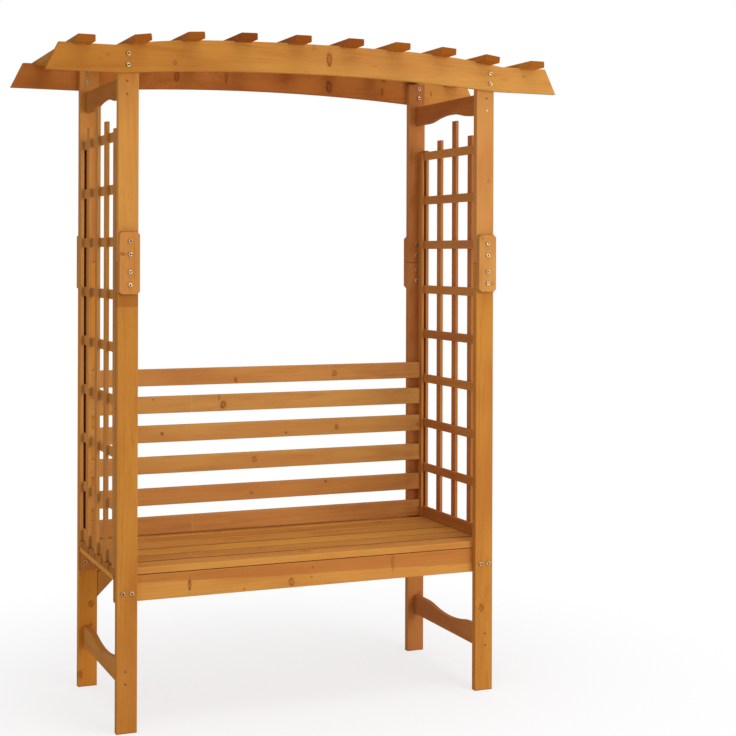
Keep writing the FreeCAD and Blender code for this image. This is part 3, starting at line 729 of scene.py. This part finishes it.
# %% Dress the boards
metal_nodes = ("beam_bolts", "splice_bolts", "apron_bolts", "top_rail_screws", "stretcher_screws")
for seed, node in enumerate(sorted(frame["nodes"])):
    if node in metal_nodes or node.startswith("trellis"):
        continue
    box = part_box(node)
    knots = knots_at[node] if node in knots_at else chance_knots(box, seed)
    dress(node, wood(
        "wood_" + node, box, seed, tints[node], knots, seams_at.get(node, ()),
        band=red_bands.get(node), far_tone_and_light=tone_and_light_ramps.get(node),
        shaded_sides=shaded_gap_sides.get(node, (0.0, 0.0)),
    ))
print("boards dressed:", len(bpy.data.materials) - 1)

# %% [markdown]
# The trellis laths are many thin strips in one node. Each could be taken out and get its own material,
# but that would be more than thirty, all nearly the same. So a node's laths share one, which counts
# them from the first by their pitch and gives each another piece of the noise.

# %% Finishes for the trellis
lath_thick = 0.008
lath_kinds = (
    # node, along, across, middle of the first lath, pitch, width
    ("trellis_rails", 1, 2, 0.4855, 0.1525, 0.028),
    ("trellis_uprights", 2, 1, 0.0, 0.1145, 0.030),
    ("trellis_battens", 2, 1, -0.229, 0.458, 0.030),
)
for side in ("left", "right"):
    for seed, (kind, along, across, first, pitch, width) in enumerate(lath_kinds):
        node = kind + "_" + side
        laths = (along, across, 0, first, pitch, width, lath_thick)
        lath_seed = 70 + seed + len(side)
        dress(node, wood("wood_" + node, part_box(node), lath_seed, tints[node], laths=laths))
print("trellis nodes dressed:", 2 * len(lath_kinds))

# %% [markdown]
# The bolts are zinc-plated. Their colour has a warm mottle of bright and dull patches, partly the
# plating's own and partly a painted reflection, so that the heads don't shine evenly in the white
# surround. The hexagon sockets are painted dark brown as painted shade in the well. The screws of the
# side boards were painted over with the stain.

# %% Finishes of the fasteners
zinc, zinc_shader, zinc_start = new_material("zinc_plating")
zinc_shader.inputs["Metallic"].default_value = 0.8
zinc_place = zinc_start.node("ShaderNodeTexCoord", output=point_output)
# Bright and dull patches: partly the plating's own mottle, partly a painted reflection.
mottle_and_glint_patches = zinc_start.noise(zinc_place, 190.0, 2.0).step(0.42, 0.60)
mottle = zinc_start.noise(zinc_place, 900.0, 2.0)
zinc_colour = zinc_start.mix(mottle_and_glint_patches, paint(146, 116, 80), paint(216, 194, 160))
zinc_colour = zinc_start.mix(mottle * 0.3, zinc_colour, paint(176, 160, 130))
join(zinc_shader, "Base Color", zinc_colour)
join(zinc_shader, "Roughness", 0.34 + mottle * 0.16)

# Painted shade in the hexagon sockets: dark brown, mottled.
socket_shade, socket_shade_shader, socket_shade_start = new_material("socket_painted_shade")
socket_shade_place = socket_shade_start.node("ShaderNodeTexCoord", output=point_output)
socket_shade_mottle = socket_shade_start.noise(socket_shade_place, 1500.0, 2.0)
join(socket_shade_shader, "Base Color", socket_shade_start.mix(socket_shade_mottle, paint(70, 44, 24), paint(128, 92, 54)))
join(socket_shade_shader, "Roughness", 0.6 + socket_shade_mottle * 0.3)

stained, stained_shader, stained_start = new_material("stained_head")
stained_place = stained_start.node("ShaderNodeTexCoord", output=point_output)
smear = stained_start.noise(stained_place, 700.0, 2.0)
join(stained_shader, "Base Color", stained_start.mix(smear, paint(120, 66, 32), paint(164, 100, 54)))
join(stained_shader, "Roughness", 0.45 + smear * 0.2)
print("finishes of the fasteners:", [zinc.name, socket_shade.name, stained.name])

# %% [markdown]
# A bolt's head is turned on a lathe, and its socket is a six-sided well pressed into it. A cylinder
# with a smaller one cut out would show flat tops and sharp corners. So the head is made as on a lathe,
# by turning a profile round the axis, and only the last two rings of it, the socket, are drawn in to
# six flat sides.


# %% Turned bolts
def bolt_mesh(name, head, height, socket, shank, length):
    """A round-headed bolt along +Y, the underside of its head at y = 0."""
    shape = bmesh.new()
    sides = 24
    profile = [
        (shank, length), (shank, 0.0), (head, 0.0), (head, -height * 0.55),
        (head * 0.93, -height * 0.85), (head * 0.78, -height), (socket, -height),
        (socket * 0.96, -height * 0.25),
    ]
    socket_rings = (len(profile) - 2, len(profile) - 1)
    loops = []
    for index, (radius, y) in enumerate(profile):
        loop = []
        for step in range(sides):
            angle = 2 * math.pi * step / sides
            reach = radius
            if index in socket_rings:
                part = (angle + math.pi / 6) % (math.pi / 3) - math.pi / 6
                reach = radius * math.cos(math.pi / 6) / math.cos(part)
            loop.append(shape.verts.new((reach * math.cos(angle), y, reach * math.sin(angle))))
        loops.append(loop)
    for before, after in zip(loops, loops[1:]):
        for step in range(sides):
            corner = (step + 1) % sides
            shape.faces.new((before[step], before[corner], after[corner], after[step]))
    shape.faces.new(loops[0])
    shape.faces.new(reversed(loops[-1]))
    bmesh.ops.recalc_face_normals(shape, faces=shape.faces)
    # Faces in the socket take slot 1, the painted shade of the well.
    for face in shape.faces:
        middle = face.calc_center_median()
        if math.hypot(middle.x, middle.z) < socket * 1.01 and middle.y < -height * 0.2:
            face.material_index = 1
    mesh = bpy.data.meshes.new(name)
    shape.to_mesh(mesh)
    shape.free()
    return mesh


machine_bolt = bolt_mesh(
    "machine_bolt", head=0.0065, height=0.0046, socket=0.0033, shank=0.003, length=0.040
)
side_screw = bolt_mesh(
    "side_screw", head=0.0035, height=0.0015, socket=0.0014, shank=0.002, length=0.045
)
slat_screw = bolt_mesh(
    "slat_screw", head=0.0030, height=0.0010, socket=0.0012, shank=0.0018, length=0.030
)
print("faces of a bolt:", len(machine_bolt.polygons))


# %% Setting out a fastener
def set_out(name, mesh, spots, replaced=None, finish=zinc, rubbed=None):
    """One piece of many copies; a spot is x, y, z and the way it points, and a rubbed one is bare."""
    shape = bmesh.new()
    for x, y, z, way in spots:
        copy = mesh.copy()
        if (x, y, z) == rubbed:
            for face in copy.polygons:
                face.material_index = 0 if face.material_index else 2
        turn = Matrix.Rotation(0 if way > 0 else math.pi, 4, "Z")
        roll = Matrix.Rotation((x * 37 + z * 91) % 1.0, 4, "Y")
        copy.transform(Matrix.Translation((x, y, z)) @ turn @ roll)
        shape.from_mesh(copy)
        bpy.data.meshes.remove(copy)
    joined = bpy.data.meshes.new(name)
    shape.to_mesh(joined)
    shape.free()
    # Slot 1 holds the painted shade of the sockets; slot 2 the bare zinc of a rubbed head.
    joined.materials.append(finish)
    joined.materials.append(socket_shade)
    joined.materials.append(zinc)
    piece = bpy.data.objects.new(name, joined)
    bpy.context.scene.collection.objects.link(piece)
    for face in joined.polygons:
        face.use_smooth = True
    joined.set_sharp_from_angle(angle=math.radians(35))
    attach(piece, "root")
    if replaced:
        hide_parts(replaced)


print("finishes on a fastener: its own,", socket_shade.name, "in the socket,", zinc.name, "where rubbed")

# %% [markdown]
# A fastener could be placed by eye, but then its head would float or sink in. So each head's underside
# lies on a face of wood, whose place from front to back is named first. All but the three slat screws
# stand where the frame has plain ones, in the same holes. One stained screw on the right has been
# rubbed bare and shines.

# %% Bolts and screws in their holes
outer_front = -0.288  # front faces of the front beam and the front plates
post_front = -0.268  # front faces of the front posts
rear_post_front = 0.244
slat_front = 0.224  # front faces of the rear apron and the backrest slats
post_back = 0.268  # back faces of the rear posts
post_line = 0.57  # middles of the posts, to each side
beam_spots = []
splice_spots = []
apron_spots = []
rail_spots = []
stretcher_spots = []
for side in (-1, 1):
    for z in (1.902, 1.934):
        beam_spots += [(0.576 * side, outer_front, z, 1), (0.576 * side, rear_post_front, z + 0.005, 1)]
    for rise in (-0.062, -0.025, 0.025, 0.062):
        z = 1.34 + rise
        splice_spots += [(0.569 * side, outer_front, z, 1), (0.569 * side, rear_post_front, z, 1)]
    for shift in (-0.013, 0.013):
        x = post_line * side + shift
        apron_spots += [(x, post_front, 0.398, 1), (x, slat_front, 0.398, 1)]
    for z in (1.821, 1.858):
        rail_spots += [(0.574 * side, post_front, z, 1), (0.574 * side, post_back, z, -1)]
    for z in (0.141, 0.177):
        stretcher_spots += [(0.574 * side, post_front, z, 1), (0.574 * side, post_back, z, -1)]
slat_spots = [
    (-0.365, slat_front, 0.900, 1), (0.565, slat_front, 0.785, 1), (0.568, slat_front, 0.498, 1),
]
set_out("zinc_beam_bolts", machine_bolt, beam_spots, "beam_bolts")
set_out("zinc_splice_bolts", machine_bolt, splice_spots, "splice_bolts")
set_out("zinc_apron_bolts", machine_bolt, apron_spots, "apron_bolts")
set_out("rail_screws", side_screw, rail_spots, "top_rail_screws", stained, (0.574, post_front, 1.821))
set_out("stretcher_screws_set", side_screw, stretcher_spots, "stretcher_screws", stained)
set_out("slat_screws", slat_screw, slat_spots, None, stained)
print("bolts:", len(beam_spots + splice_spots + apron_spots))
print("screws:", len(rail_spots + stretcher_spots + slat_spots))

# %% [markdown]
